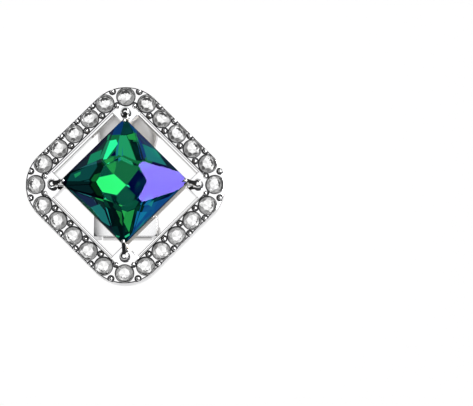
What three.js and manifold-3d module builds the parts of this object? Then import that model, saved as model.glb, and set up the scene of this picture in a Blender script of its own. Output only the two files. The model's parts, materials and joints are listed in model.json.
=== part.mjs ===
// Clip-on earring: a square faceted stone in a halo of small crystals, with a paddle-back ear clip behind.
// Millimetres, +Z up. The earring lies on its clip, face up, with the halo standing on one corner.
import * as THREE from "three";
import { ConvexGeometry } from "three/addons/geometries/ConvexGeometry.js";
import { mergeVertices } from "three/addons/utils/BufferGeometryUtils.js";
import Module from "manifold-3d";

const wasm = await Module();
wasm.setup();

// The front is modelled flat, with z = 0 on the halo's back, and is then tilted back on its clip.
const FACE_TILT = THREE.MathUtils.degToRad(8.5);
const HALO_BACK_HEIGHT = 3.96; // the middle of the halo's back above the table top

// Halo, measured across its flats
const HALO_HALF = 9.36;
const HALO_CORNER_RADIUS = 4.7;
const HALO_DEPTH = 2.6;
const HALO_EDGE = 0.16;
const OPENING_HALF = 6.93;
const OPENING_CORNER_RADIUS = 0.4;
const OPENING_LEDGE_HALF = 6.7; // a lower ledge narrows the opening behind the halo's face
const OPENING_LEDGE_BOTTOM = 0.8;
const OPENING_LEDGE_TOP = 2.0;
const LEDGE_INTO_BAND = 0.2;

// Halo crystals and the pockets that they sit in
const CRYSTAL_RADIUS = 1.0;
const CRYSTAL_TABLE_RADIUS = 0.58;
const CRYSTAL_SIDES = 16;
const CRYSTAL_TABLE_SIDES = 8;
const CRYSTAL_CROWN = 0.42;
const CRYSTAL_GIRDLE = 0.1;
const CRYSTAL_PAVILION = 0.9;
const CRYSTAL_GIRDLE_HEIGHT = 2.5; // the girdle's underside above the halo's back
const CRYSTAL_LINE = 8.31; // from the middle of the halo to a row of crystals
const CRYSTAL_PITCH = 2.46;
const CRYSTALS_EACH_WAY = 2; // on each side of a row's middle crystal
const CORNER_CRYSTAL = 7.2; // both coordinates of a corner crystal
const POCKET_RADIUS = 1.08;
const POCKET_FLOOR = 2.2;
const POCKET_CONE_RADIUS = 0.76;
const POCKET_BOTTOM = 1.45;
const POCKET_SIDES = 12;
const POCKET_CUT_TOP = 3.6; // clear above the halo's face

// Grain beads on the bars between two crystals
const GRAIN_RADIUS = 0.25;
const GRAIN_SIDES = 8;
const GRAIN_RINGS = 4;
const GRAIN_OFFSET = 0.85; // from the row's line towards the inner and the outer edge
const CORNER_GRAIN_OUTWARD = 1.05;
const CORNER_GRAIN_INWARD = 0.7;

// Centre stone: heights are above its point
const STONE_POINT_HEIGHT = 2.0; // above the halo's back
const STONE_HALF = 5.06;
const STONE_CORNER_RADIUS = 0.66;
const STONE_CORNER_FACETS = 3;
const STONE_GIRDLE = 3.1;
const STONE_GIRDLE_TOP = 3.3;
const STONE_RIB_FOOT = 3.2; // where the rib from the table comes down on a corner
const STONE_TABLE = 4.9;
const TABLE_MIDDLE = [-0.37, -0.1]; // the table is cut a little off the middle
const TABLE_SIDE_REACH = 2.66;
const TABLE_CORNER_REACH = 2.82;
const SIDE_FACET_SLOPES = [32, 34.5, 39.5, 38];

// Rows of facets under the girdle. Their azimuths repeat in each quarter, and each facet leans by slope and
// passes the given reach from the row's middle at the given height.
const STONE_MIDDLE = [0, 0];
const STONE_POINT = [-0.18, -0.6]; // the point is cut a little off the middle too
const PAVILION_ROWS = [
  { azimuths: [45], slope: 20, reach: 0, height: 0, middle: STONE_POINT },
  { azimuths: [10, 80], slope: 27.9, reach: 1.723, height: 0.45, middle: STONE_POINT },
  { azimuths: [8, 82], slope: 34, reach: 2.872, height: 1.05, middle: STONE_MIDDLE },
  { azimuths: [37, 53], slope: 28.2, reach: 6.813, height: STONE_GIRDLE, middle: STONE_MIDDLE },
  { azimuths: [0], slope: 52, reach: STONE_HALF, height: STONE_GIRDLE, middle: STONE_MIDDLE },
];

// Cup under the stone
const CUP_TOP_HALF = 5.12;
const CUP_BOTTOM_HALF = 4.96;
const CUP_BOTTOM = 1.1;
const CUP_RIM = 4.98;
const STONE_GAP = 0.08;

// Corner bridges and prongs
const BRIDGE_INNER = 4.75;
const STRUT_WIDTH = 0.6;
const STRUT_START = 5.6; // along the diagonal, inside the cup's wall
const STRUT_END = 8.13; // along the diagonal, inside the bridge
const BRIDGE_LOW = 0.9;
const BRIDGE_TOP = 2.3;
const PRONG_CENTRE = 5.82;
const PRONG_RADIUS = 0.4;
const PRONG_SIDES = 10;
const BALL_RADIUS = 0.52;
const BALL_HEIGHT = 3.5;
const CLAW_WIDTH = 0.42;
const CLAW_THICKNESS = 0.45;
const CLAW_REACH = 0.2; // over the stone's corner
const CLAW_TIP_HEIGHT = 5.6;
const CLAW_TIP_DROP = 0.05;
const CLAW_FOOT_OUT = 0.1; // beyond the prong's middle
const CLAW_FOOT_DEPTH = 0.5; // under the ball's middle
const CLAW_BEND = 0.5;
const CLAW_BEND_HEIGHT = 5.2;
const CLAW_STEM_BOTTOM = 1.5; // inside the cup's wall
const PRONG_FOOT = 1.3; // inside the bridge

// Clip bracket on the back of the cup
const BRACKET_HALF_WIDTH = 3.6;
const BRACKET_THICKNESS = 0.6;
const BRACKET_INTO_CUP = 0.1;
const BRACKET_UPPER = 2.4; // its upper edge, above the middle
const BRACKET_LOWER = -5.7;
const EAR_THICKNESS = 0.6;
const EAR_RADIUS = 0.85;
const EAR_ROOT_END = 2.6; // the ear's upper end on the bracket, above the hinge line
const EAR_SHOULDER = 1.1;

// Hinge: a pin along X, given in the tilted front's own frame
const HINGE_Y = -4.65;
const PIN_RADIUS = 0.42;
const PIN_HOLE_RADIUS = 0.5;
const PIN_HEAD_RADIUS = 0.68;
const PIN_HEAD_THICKNESS = 0.18;
const PIN_PLAY = 0.05; // between the pin's heads and the ears
const PIN_SIDES = 16;
const PIN_HOLE_LENGTH = 9.2; // clear of both ears
const BARREL_RADIUS = 0.9;
const BARREL_GAP = 0.15;
const BARREL_SIDES = 20;

// Paddle: flat on the table top, so its sizes are heights above it
const PADDLE_THICKNESS = 0.65;
const PAD_RADIUS = 3.5;
const PAD_THICKNESS = 0.9;
const PAD_RIM = 0.35;
const PAD_EDGE = 0.15;
const PAD_RECESS = 0.18;
const PAD_RECESS_SLANT = 0.1;
const PAD_FROM_HINGE = 11.3;
const PAD_SIDES = 40;
const ARM_HALF_AT_HINGE = 2.3;
const ARM_HALF_AT_WAIST = 1.35;
const ARM_WAIST = 5.6; // from the hinge line
const ARM_JOINS_PAD = 9.2;
const ARM_HALF_AT_PAD = 2.7;
const ARM_EDGE_STEPS = 12;

const SILVER = { color: 0xd9d9dc, roughness: 0.16, metalness: 1 };
const CLIP_METAL = { color: 0xc9c5bd, roughness: 0.2, metalness: 1 };
const GREEN_STONE = { color: 0x0b6a4a, roughness: 0.05, metalness: 0.1 };
const CLEAR_CRYSTAL = { color: 0xf2f4f7, roughness: 0.05, metalness: 0 };

// ---- Solids

function toSolid(geometry) {
  const bare = geometry.clone();
  bare.deleteAttribute("normal");
  bare.deleteAttribute("uv");
  const merged = mergeVertices(bare, 1e-5);
  return new wasm.Manifold(
    new wasm.Mesh({
      numProp: 3,
      vertProperties: merged.attributes.position.array,
      triVerts: new Uint32Array(merged.index.array),
    }),
  );
}

function toGeometry(solid) {
  const { vertProperties, triVerts } = solid.getMesh();
  const geometry = new THREE.BufferGeometry();
  geometry.setAttribute("position", new THREE.BufferAttribute(vertProperties, 3));
  geometry.setIndex(new THREE.BufferAttribute(triVerts, 1));
  const faceted = geometry.toNonIndexed();
  faceted.computeVertexNormals();
  return faceted;
}

function joined(solids) {
  return solids.reduce((sum, solid) => sum.add(solid));
}

function piece(name, solid, look) {
  const mesh = new THREE.Mesh(toGeometry(solid), new THREE.MeshStandardMaterial(look));
  mesh.name = name;
  return mesh;
}

// ---- Outlines and plain shapes

function roundedSquare(half, radius) {
  const centre = half - radius;
  const outline = new THREE.Shape();
  for (let corner = 0; corner < 4; corner += 1) {
    const start = (corner * Math.PI) / 2;
    const [x, y] = [[1, 1], [-1, 1], [-1, -1], [1, -1]][corner];
    outline.absarc(x * centre, y * centre, radius, start, start + Math.PI / 2, false);
  }
  return outline;
}

function box(width, length, height, x, y, z) {
  return new THREE.BoxGeometry(width, length, height).translate(x, y, z);
}

// A rod or disc along X, centred on x
function rodAlongX(radius, length, sides, x, y, z) {
  return new THREE.CylinderGeometry(radius, radius, length, sides).rotateZ(Math.PI / 2).translate(x, y, z);
}

function lathePoints(pairs) {
  return pairs.map(([radius, height]) => new THREE.Vector2(radius, height));
}

// Places on the four corners of a square, given for its first quadrant
function onFourCorners(make) {
  return [0, 1, 2, 3].map((quarter) => make().rotateZ((quarter * Math.PI) / 2));
}

// ---- Halo

// The crystals' places in order round the halo, starting from the middle of the +x side
function crystalPlaces() {
  const places = [];
  for (let side = 0; side < 4; side += 1) {
    const turn = (side * Math.PI) / 2;
    const axis = new THREE.Vector3(0, 0, 1);
    for (let step = -CRYSTALS_EACH_WAY; step <= CRYSTALS_EACH_WAY; step += 1) {
      places.push(new THREE.Vector3(CRYSTAL_LINE, step * CRYSTAL_PITCH, 0).applyAxisAngle(axis, turn));
    }
    places.push(new THREE.Vector3(CORNER_CRYSTAL, CORNER_CRYSTAL, 0).applyAxisAngle(axis, turn));
  }
  return places;
}

// Two grain beads for each pair of neighbouring crystals, at the ends of the bar between them
function grainPlaces() {
  const crystals = crystalPlaces();
  const places = [];
  crystals.forEach((place, index) => {
    const next = crystals[(index + 1) % crystals.length];
    const middle = place.clone().add(next).divideScalar(2);
    const along = next.clone().sub(place).normalize();
    const outward = new THREE.Vector3(along.y, -along.x, 0);
    const straight = Math.max(Math.abs(along.x), Math.abs(along.y)) > 0.99;
    const outer = straight ? GRAIN_OFFSET : CORNER_GRAIN_OUTWARD;
    const inner = straight ? GRAIN_OFFSET : CORNER_GRAIN_INWARD;
    places.push(middle.clone().addScaledVector(outward, outer));
    places.push(middle.clone().addScaledVector(outward, -inner));
  });
  return places;
}

// A ring of metal inside the opening, lower than the halo's face
function openingLedge() {
  const outline = roundedSquare(OPENING_HALF + LEDGE_INTO_BAND, OPENING_CORNER_RADIUS);
  outline.holes.push(roundedSquare(OPENING_LEDGE_HALF, OPENING_CORNER_RADIUS));
  const ring = new THREE.ExtrudeGeometry(outline, {
    depth: OPENING_LEDGE_TOP - OPENING_LEDGE_BOTTOM,
    curveSegments: 4,
    bevelEnabled: false,
  });
  return toSolid(ring.translate(0, 0, OPENING_LEDGE_BOTTOM));
}

function haloBand() {
  const outline = roundedSquare(HALO_HALF, HALO_CORNER_RADIUS);
  outline.holes.push(roundedSquare(OPENING_HALF, OPENING_CORNER_RADIUS));
  const band = new THREE.ExtrudeGeometry(outline, {
    depth: HALO_DEPTH - 2 * HALO_EDGE,
    curveSegments: 8,
    bevelThickness: HALO_EDGE,
    bevelSize: HALO_EDGE,
    bevelOffset: -HALO_EDGE,
    bevelSegments: 1,
  });
  return toSolid(band.translate(0, 0, HALO_EDGE));
}

// The space that one crystal's pocket takes: a round recess with a cone below for the crystal's point
function pocket() {
  const profile = lathePoints([
    [0, POCKET_BOTTOM],
    [POCKET_CONE_RADIUS, POCKET_FLOOR],
    [POCKET_RADIUS, POCKET_FLOOR],
    [POCKET_RADIUS, POCKET_CUT_TOP],
    [0, POCKET_CUT_TOP],
  ]);
  return new THREE.LatheGeometry(profile, POCKET_SIDES).rotateX(Math.PI / 2);
}

function grainBead() {
  return new THREE.SphereGeometry(GRAIN_RADIUS, GRAIN_SIDES, GRAIN_RINGS);
}

// ---- Corner bridges, prongs and cup

function bridge() {
  const width = OPENING_HALF + HALO_EDGE - BRIDGE_INNER;
  const middle = BRIDGE_INNER + width / 2;
  return box(width, width, BRIDGE_TOP - BRIDGE_LOW, middle, middle, (BRIDGE_TOP + BRIDGE_LOW) / 2);
}

// A bar along the diagonal that carries the cup on the bridge
function strut() {
  const length = STRUT_END - STRUT_START;
  const height = BRIDGE_TOP - CUP_BOTTOM;
  const bar = box(length, STRUT_WIDTH, height, STRUT_START + length / 2, 0, CUP_BOTTOM + height / 2);
  return bar.rotateZ(Math.PI / 4);
}

// A post with a ball on top, the ball given by the latitudes of its rings
function prong() {
  const rings = [-20, 20, 60].map((latitude) => {
    const angle = THREE.MathUtils.degToRad(latitude);
    return [BALL_RADIUS * Math.cos(angle), BALL_HEIGHT + BALL_RADIUS * Math.sin(angle)];
  });
  const post = [
    [0, PRONG_FOOT],
    [PRONG_RADIUS, PRONG_FOOT],
    [PRONG_RADIUS, BALL_HEIGHT - BALL_RADIUS / 2],
  ];
  const profile = lathePoints([...post, ...rings, [0, BALL_HEIGHT + BALL_RADIUS]]);
  return new THREE.LatheGeometry(profile, PRONG_SIDES)
    .rotateX(Math.PI / 2)
    .translate(PRONG_CENTRE, PRONG_CENTRE, 0);
}

// A finger that rises from the prong's ball and bends over the stone's corner, in the plane of the diagonal
function claw() {
  const foot = PRONG_CENTRE * Math.SQRT2 + CLAW_FOOT_OUT;
  const corner = stoneCornerReach();
  const back = corner + STONE_GAP + CLAW_THICKNESS;
  const low = BALL_HEIGHT - CLAW_FOOT_DEPTH;
  const side = new THREE.Shape();
  side.moveTo(foot, low);
  side.lineTo(foot, BALL_HEIGHT);
  side.quadraticCurveTo(back, BALL_HEIGHT + CLAW_BEND, back, CLAW_BEND_HEIGHT);
  side.quadraticCurveTo(back, CLAW_TIP_HEIGHT, corner, CLAW_TIP_HEIGHT);
  side.lineTo(corner - CLAW_REACH, CLAW_TIP_HEIGHT - CLAW_TIP_DROP);
  side.lineTo(corner - CLAW_REACH, CLAW_STEM_BOTTOM);
  side.lineTo(back, CLAW_STEM_BOTTOM);
  side.lineTo(back, low);
  const finger = new THREE.ExtrudeGeometry(side, {
    depth: CLAW_WIDTH,
    curveSegments: 5,
    bevelEnabled: false,
  });
  return finger
    .translate(0, 0, -CLAW_WIDTH / 2)
    .rotateX(Math.PI / 2)
    .rotateZ(Math.PI / 4);
}

function cupBlock() {
  const sideToCorner = Math.SQRT2;
  return new THREE.CylinderGeometry(
    CUP_TOP_HALF * sideToCorner,
    CUP_BOTTOM_HALF * sideToCorner,
    CUP_RIM - CUP_BOTTOM,
    4,
  )
    .rotateX(Math.PI / 2)
    .rotateZ(Math.PI / 4)
    .translate(0, 0, (CUP_RIM + CUP_BOTTOM) / 2);
}

// ---- Stones

// Vertices of a level outline, the first on the +x axis
function polygon(sides, radius, z) {
  return Array.from({ length: sides }, (_, index) => {
    const angle = (2 * index * Math.PI) / sides;
    return new THREE.Vector3(radius * Math.cos(angle), radius * Math.sin(angle), z);
  });
}

// How far the stone's corner reaches along the diagonal
function stoneCornerReach() {
  return (STONE_HALF - STONE_CORNER_RADIUS) * Math.SQRT2 + STONE_CORNER_RADIUS;
}

function around(azimuth, reach, z) {
  const angle = THREE.MathUtils.degToRad(azimuth);
  return new THREE.Vector3(reach * Math.cos(angle), reach * Math.sin(angle), z);
}

// A plane that faces outwards along azimuth and leans up or down by slope from level
function leaningPlane(azimuth, slope, point, facing) {
  const lean = THREE.MathUtils.degToRad(slope);
  const normal = around(azimuth, Math.sin(lean), facing * Math.cos(lean));
  return new THREE.Plane().setFromNormalAndCoplanarPoint(normal, point);
}

function pavilionPlanes(turn) {
  return PAVILION_ROWS.flatMap(({ azimuths, slope, reach, height, middle }) =>
    azimuths.map((azimuth) => {
      const point = around(azimuth + turn, reach, height).add(new THREE.Vector3(...middle, 0));
      return leaningPlane(azimuth + turn, slope, point, -1);
    }),
  );
}

// The four flat sides and the small upright facets that round one corner
function girdlePlanes(turn) {
  const middle = STONE_HALF - STONE_CORNER_RADIUS;
  const corner = around(turn + 45, middle * Math.SQRT2, 0);
  const side = leaningPlane(turn, 90, around(turn, STONE_HALF, 0), 1);
  const rounding = Array.from({ length: STONE_CORNER_FACETS }, (_, index) => {
    const azimuth = turn + (90 * (index + 1)) / (STONE_CORNER_FACETS + 1);
    return leaningPlane(azimuth, 90, around(azimuth, STONE_CORNER_RADIUS, 0).add(corner), 1);
  });
  return [side, ...rounding];
}

// The two facets between the table and one corner, and the facet on the side before that corner
function crownPlanes(turn) {
  const middle = new THREE.Vector3(...TABLE_MIDDLE, STONE_TABLE);
  const tableCorner = around(turn + 45, TABLE_CORNER_REACH, 0).add(middle);
  const ribFoot = around(turn + 45, stoneCornerReach(), STONE_RIB_FOOT);
  const beside = [turn, turn + 90].map((azimuth) => {
    const tableSide = around(azimuth, TABLE_SIDE_REACH, 0).add(middle);
    const plane = new THREE.Plane().setFromCoplanarPoints(tableCorner, tableSide, ribFoot);
    return plane.normal.z > 0 ? plane : plane.negate();
  });
  const sidePoint = around(turn, STONE_HALF, STONE_GIRDLE_TOP);
  return [...beside, leaningPlane(turn, SIDE_FACET_SLOPES[turn / 90], sidePoint, 1)];
}

// All the planes that bound the stone, moved out by a clearance where the same form cuts the cup
function stonePlanes(clearance) {
  const table = leaningPlane(0, 0, new THREE.Vector3(0, 0, STONE_TABLE), 1);
  const sides = [0, 90, 180, 270].flatMap((turn) => [
    ...pavilionPlanes(turn),
    ...girdlePlanes(turn),
    ...crownPlanes(turn),
  ]);
  return [table, ...sides].map((plane) => new THREE.Plane(plane.normal, plane.constant - clearance));
}

// The point that three planes share, or null if they have none
function sharedPoint(planes) {
  const normals = new THREE.Matrix3().set(...planes.flatMap(({ normal }) => normal.toArray()));
  if (Math.abs(normals.determinant()) < 1e-4) {
    return null;
  }
  const [a, b, c] = planes.map(({ constant }) => -constant);
  return new THREE.Vector3(a, b, c).applyMatrix3(normals.invert());
}

// The corners of the solid that is left when all that lies beyond each plane is cut away
function cornersWithin(planes) {
  const corners = [];
  const keep = (point) => {
    const inside = point && planes.every((plane) => plane.distanceToPoint(point) < 1e-5);
    if (inside && corners.every((known) => known.distanceTo(point) > 1e-3)) {
      corners.push(point);
    }
  };
  planes.forEach((first, i) => {
    planes.slice(i + 1).forEach((second, j) => {
      planes.slice(i + j + 2).forEach((third) => keep(sharedPoint([first, second, third])));
    });
  });
  return corners;
}

function centerStone(clearance) {
  return new ConvexGeometry(cornersWithin(stonePlanes(clearance))).translate(0, 0, STONE_POINT_HEIGHT);
}

function crystal() {
  const girdleLow = CRYSTAL_GIRDLE_HEIGHT;
  const girdleTop = girdleLow + CRYSTAL_GIRDLE;
  return new ConvexGeometry([
    ...polygon(CRYSTAL_TABLE_SIDES, CRYSTAL_TABLE_RADIUS, girdleTop + CRYSTAL_CROWN),
    ...polygon(CRYSTAL_SIDES, CRYSTAL_RADIUS, girdleTop),
    ...polygon(CRYSTAL_SIDES, CRYSTAL_RADIUS, girdleLow),
    new THREE.Vector3(0, 0, girdleLow - CRYSTAL_PAVILION),
  ]);
}

// ---- Clip

// The pin's height in the tilted front's frame, from the height of the paddle's barrel above the table top
function hingeZ() {
  const drop = HALO_BACK_HEIGHT - HINGE_Y * Math.sin(FACE_TILT) - BARREL_RADIUS;
  return -drop / Math.cos(FACE_TILT);
}

function bracket() {
  const top = CUP_BOTTOM + BRACKET_INTO_CUP;
  const length = BRACKET_UPPER - BRACKET_LOWER;
  const plate = box(2 * BRACKET_HALF_WIDTH, length, BRACKET_THICKNESS, 0, 0, 0);
  plate.translate(0, (BRACKET_UPPER + BRACKET_LOWER) / 2, top - BRACKET_THICKNESS / 2);
  return [plate, ear(1, top), ear(-1, top)];
}

// The ear's outline runs along the hinge's Y and Z, from the bracket down to a round end about the pin
function ear(side, top) {
  const lowerEnd = BRACKET_LOWER - HINGE_Y;
  const outline = new THREE.Shape();
  outline.moveTo(lowerEnd, top);
  outline.lineTo(lowerEnd, top - EAR_SHOULDER);
  outline.absarc(0, hingeZ(), EAR_RADIUS, Math.PI, 2 * Math.PI, false);
  outline.lineTo(EAR_ROOT_END, top - EAR_SHOULDER);
  outline.lineTo(EAR_ROOT_END, top);
  const plate = new THREE.ExtrudeGeometry(outline, {
    depth: EAR_THICKNESS,
    curveSegments: 8,
    bevelEnabled: false,
  });
  const x = side * (BRACKET_HALF_WIDTH - EAR_THICKNESS / 2);
  return plate
    .translate(0, 0, -EAR_THICKNESS / 2)
    .rotateX(Math.PI / 2)
    .rotateZ(Math.PI / 2)
    .translate(x, HINGE_Y, 0);
}

function pinHole() {
  return rodAlongX(PIN_HOLE_RADIUS, PIN_HOLE_LENGTH, PIN_SIDES, 0, HINGE_Y, hingeZ());
}

function hingePin() {
  const headX = BRACKET_HALF_WIDTH + PIN_PLAY + PIN_HEAD_THICKNESS / 2;
  const shaft = rodAlongX(PIN_RADIUS, 2 * headX, PIN_SIDES, 0, HINGE_Y, hingeZ());
  const heads = [-1, 1].map((side) =>
    rodAlongX(PIN_HEAD_RADIUS, PIN_HEAD_THICKNESS, PIN_SIDES, side * headX, HINGE_Y, hingeZ()),
  );
  return joined([shaft, ...heads].map(toSolid));
}

// One half of the arm's edge, from the barrel in to the waist and out into the pad
function armEdge() {
  const edge = new THREE.SplineCurve([
    new THREE.Vector2(ARM_HALF_AT_HINGE, 0),
    new THREE.Vector2(ARM_HALF_AT_HINGE, BARREL_RADIUS),
    new THREE.Vector2(ARM_HALF_AT_WAIST, ARM_WAIST),
    new THREE.Vector2(ARM_HALF_AT_PAD, ARM_JOINS_PAD),
  ]);
  return edge.getPoints(ARM_EDGE_STEPS);
}

// Drawn flat with the hinge line at y = 0
function paddle() {
  const barrelHalf = BRACKET_HALF_WIDTH - EAR_THICKNESS - BARREL_GAP;
  const right = armEdge();
  const left = right.map(({ x, y }) => new THREE.Vector2(-x, y)).reverse();
  const outline = new THREE.Shape([...right, ...left]);
  const arm = new THREE.ExtrudeGeometry(outline, { depth: PADDLE_THICKNESS, bevelEnabled: false });
  const padProfile = lathePoints([
    [0, 0],
    [PAD_RADIUS - PAD_EDGE, 0],
    [PAD_RADIUS, PAD_EDGE],
    [PAD_RADIUS, PAD_THICKNESS - PAD_EDGE],
    [PAD_RADIUS - PAD_EDGE, PAD_THICKNESS],
    [PAD_RADIUS - PAD_RIM, PAD_THICKNESS],
    [PAD_RADIUS - PAD_RIM - PAD_RECESS_SLANT, PAD_THICKNESS - PAD_RECESS],
    [0, PAD_THICKNESS - PAD_RECESS],
  ]);
  const pad = new THREE.LatheGeometry(padProfile, PAD_SIDES)
    .rotateX(Math.PI / 2)
    .translate(0, PAD_FROM_HINGE, 0);
  const barrel = rodAlongX(BARREL_RADIUS, 2 * barrelHalf, BARREL_SIDES, 0, 0, BARREL_RADIUS);
  const hole = rodAlongX(PIN_HOLE_RADIUS, PIN_HOLE_LENGTH, PIN_SIDES, 0, 0, BARREL_RADIUS);
  return joined([arm, pad, barrel].map(toSolid)).subtract(toSolid(hole));
}

// ---- Assembly

function settingFrame() {
  const grains = grainPlaces().map((place) => grainBead().translate(place.x, place.y, HALO_DEPTH));
  const pockets = crystalPlaces().map((place) => pocket().translate(place.x, place.y, 0));
  const corners = [...onFourCorners(bridge), ...onFourCorners(strut)].map(toSolid);
  const halo = joined([haloBand(), openingLedge(), ...grains.map(toSolid), ...corners]);
  const pocketed = pockets.map(toSolid).reduce((rest, cut) => rest.subtract(cut), halo);
  const prongs = [...onFourCorners(prong), ...onFourCorners(claw)].map(toSolid);
  const upright = joined([pocketed, ...prongs, toSolid(cupBlock())]);
  const standing = toSolid(toGeometry(upright).rotateZ(Math.PI / 4));
  const stoneSpace = toSolid(centerStone(STONE_GAP).rotateZ(Math.PI / 4));
  return joined([standing, ...bracket().map(toSolid)])
    .subtract(stoneSpace)
    .subtract(toSolid(pinHole()));
}

function crystalMeshes() {
  return crystalPlaces().map((place, index) => {
    const name = `crystal_${String(index + 1).padStart(2, "0")}`;
    const mesh = piece(name, toSolid(crystal()), CLEAR_CRYSTAL);
    mesh.position.copy(place);
    return mesh;
  });
}

function front() {
  const turned = new THREE.Group();
  turned.rotation.z = Math.PI / 4;
  turned.add(piece("center_stone", toSolid(centerStone(0)), GREEN_STONE), ...crystalMeshes());
  const face = new THREE.Group();
  face.add(piece("setting_frame", settingFrame(), SILVER));
  face.add(piece("hinge_pin", hingePin(), CLIP_METAL));
  face.add(turned);
  face.rotation.x = -FACE_TILT;
  face.position.z = HALO_BACK_HEIGHT;
  return face;
}

function clip() {
  const mesh = piece("clip_paddle", paddle(), CLIP_METAL);
  mesh.position.y = HINGE_Y * Math.cos(FACE_TILT) + hingeZ() * Math.sin(FACE_TILT);
  return mesh;
}

// The origin is on the table top, under the middle of the whole earring
function centred(group) {
  const bounds = new THREE.Box3().setFromObject(group, true);
  const middle = bounds.getCenter(new THREE.Vector3());
  group.children.forEach((child) => {
    child.position.x -= middle.x;
    child.position.y -= middle.y;
    child.position.z -= bounds.min.z;
  });
  return group;
}

const earring = new THREE.Group();
earring.add(front(), clip());

export default centred(earring);
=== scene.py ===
import json
import math

import bmesh
import bpy
from mathutils import Matrix, Vector


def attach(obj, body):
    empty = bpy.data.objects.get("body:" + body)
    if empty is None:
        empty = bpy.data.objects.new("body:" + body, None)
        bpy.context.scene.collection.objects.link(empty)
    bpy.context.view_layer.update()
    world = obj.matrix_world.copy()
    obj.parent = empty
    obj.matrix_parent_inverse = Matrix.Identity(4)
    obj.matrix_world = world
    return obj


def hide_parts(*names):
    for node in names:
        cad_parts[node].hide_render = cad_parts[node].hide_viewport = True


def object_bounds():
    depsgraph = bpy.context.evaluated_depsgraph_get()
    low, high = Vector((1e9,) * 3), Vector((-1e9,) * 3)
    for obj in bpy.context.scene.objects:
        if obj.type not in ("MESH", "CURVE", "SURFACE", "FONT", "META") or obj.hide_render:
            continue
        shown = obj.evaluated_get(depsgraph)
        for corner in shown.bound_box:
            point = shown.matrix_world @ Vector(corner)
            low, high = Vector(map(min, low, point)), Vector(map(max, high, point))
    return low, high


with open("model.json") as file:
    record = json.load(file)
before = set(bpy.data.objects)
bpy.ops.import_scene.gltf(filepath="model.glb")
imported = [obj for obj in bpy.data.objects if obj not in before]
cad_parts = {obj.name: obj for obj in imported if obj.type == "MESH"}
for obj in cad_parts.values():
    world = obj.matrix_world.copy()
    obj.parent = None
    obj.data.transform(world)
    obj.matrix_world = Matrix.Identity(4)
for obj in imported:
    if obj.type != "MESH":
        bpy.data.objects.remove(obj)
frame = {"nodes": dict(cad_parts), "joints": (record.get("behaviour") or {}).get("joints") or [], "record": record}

CAD_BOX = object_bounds()
SCENE = bpy.context.scene

# Sizes are in millimetres unless they say otherwise. The front is modelled flat, with z = 0 on the
# halo's back and its flats on the axes. It is then turned to stand on a corner, tilted as the
# earring lies, and scaled to metres.
MM = 0.001

# Points nearer than a weld are one. A hair is the slack in telling where a face or a point lies.
WELD = 1e-4
CUT_WELD = 1e-5
HAIR = 0.01

# Halo
HALO_HALF = 9.359
HALO_CORNER_RADIUS = 4.7
HALO_DEPTH = 2.6
HALO_EDGE = 0.16
UNDER_HALO = -1.0
OPENING_HALF = 6.93
OPENING_CORNER_RADIUS = 0.45
LIP_WIDTH = 0.14
LIP_HEIGHT = 2.3
LIP_EDGE_WIDTH = 0.06
LIP_EDGE_HEIGHT = 0.04
LEDGE_HALF = 6.7
LEDGE_BOTTOM = 0.8
LEDGE_HEIGHT = 2.0
SLOPE_WIDTH = 0.12
SLOPE_HEIGHT = 0.055
SLOPE_STEEPEST = 0.7
SLOPE_FLATTEST = 0.985
CRYSTAL_LINE = 8.31
CRYSTAL_PITCH = 2.46
CORNER_CRYSTAL = 7.2
CRYSTAL_POINT_HEIGHT = 1.6
POCKET_RADIUS = 1.08
POCKET_INWARD = 0.05
POCKET_FLOOR = 2.2
POCKET_CONE_RADIUS = 0.76
POCKET_BOTTOM = 1.45
POCKET_CHAMFER = 0.03
GRAIN_RADIUS = 0.27
GRAIN_HEIGHT = 2.56
GRAIN_OFFSET = 0.80
CORNER_GRAIN_OUTWARD = 1.0
CORNER_GRAIN_INWARD = 0.7
SEAT_RADIUS = 0.41
SEAT_DEPTH = 0.24

# Halo crystals, measured up from their points
CRYSTAL_RADIUS = 1.0
CRYSTAL_GIRDLE = 0.9
CRYSTAL_GIRDLE_TOP = 1.0
CRYSTAL_TABLE = 1.42
CRYSTAL_TABLE_REACH = 0.56
CRYSTAL_EDGE_WIDTH = 0.07
CRYSTAL_EDGE_DROP = 0.1
CRYSTAL_TURN = 67.0

# Centre stone, measured up from its point
STONE_POINT_HEIGHT = 2.0
STONE_HALF = 5.06
STONE_CORNER_RADIUS = 0.66
STONE_CORNER_REACH = 6.883
STONE_GIRDLE = 3.1
STONE_GIRDLE_TOP = 3.3
STONE_RIB_FOOT = 3.2
STONE_TABLE = 4.9
TABLE_MIDDLE = Vector((-0.37, -0.10, STONE_TABLE))
TABLE_SIDE_REACH = 2.66
TABLE_CORNER_REACH = 2.82
SIDE_FACET_SLOPES = (32.0, 34.5, 39.5, 38.0)
RIGHT_CORNER = 3

# Cup under the stone
CUP_TOP_HALF = 5.12
CUP_BOTTOM_HALF = 4.96
CUP_BOTTOM = 1.1
CUP_RIM = 4.98
CUP_CORNER_RADIUS = 0.35
STONE_GAP = 0.08

# Corner bridges and the struts from them to the cup
BRIDGE_INNER = 4.75
BRIDGE_OVERLAP = 0.2
BRIDGE_LOW = 0.9
BRIDGE_TOP = 2.3
BRIDGE_EDGE = 0.07
STRUT_WIDTH = 0.6
STRUT_START = 5.6
STRUT_OVERLAP = 1.0
STRUT_EDGE = 0.12

# Prongs, each a post with a ball on it that was pressed flat on top
PRONG_CENTRE = 5.82
PRONG_RADIUS = 0.4
PRONG_FOOT = 1.3
PRONG_NECK_RADIUS = 0.38
PRONG_NECK_HEIGHT = 2.9
BALL_RADIUS = 0.52
BALL_HEIGHT = 3.5
BALL_SEAT_RADIUS = 0.61
BALL_SEAT_DEPTH = 0.2
BALL_ROUND_DEGREES = range(-40, 1, 10)
BALL_PRESSED_TOP = [
    # outward, upward, in ball radii from the ball's middle
    (0.985, 0.2), (0.93, 0.42), (0.82, 0.58), (0.68, 0.68), (0.52, 0.745), (0.3, 0.785), (0.0, 0.8),
]

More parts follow.
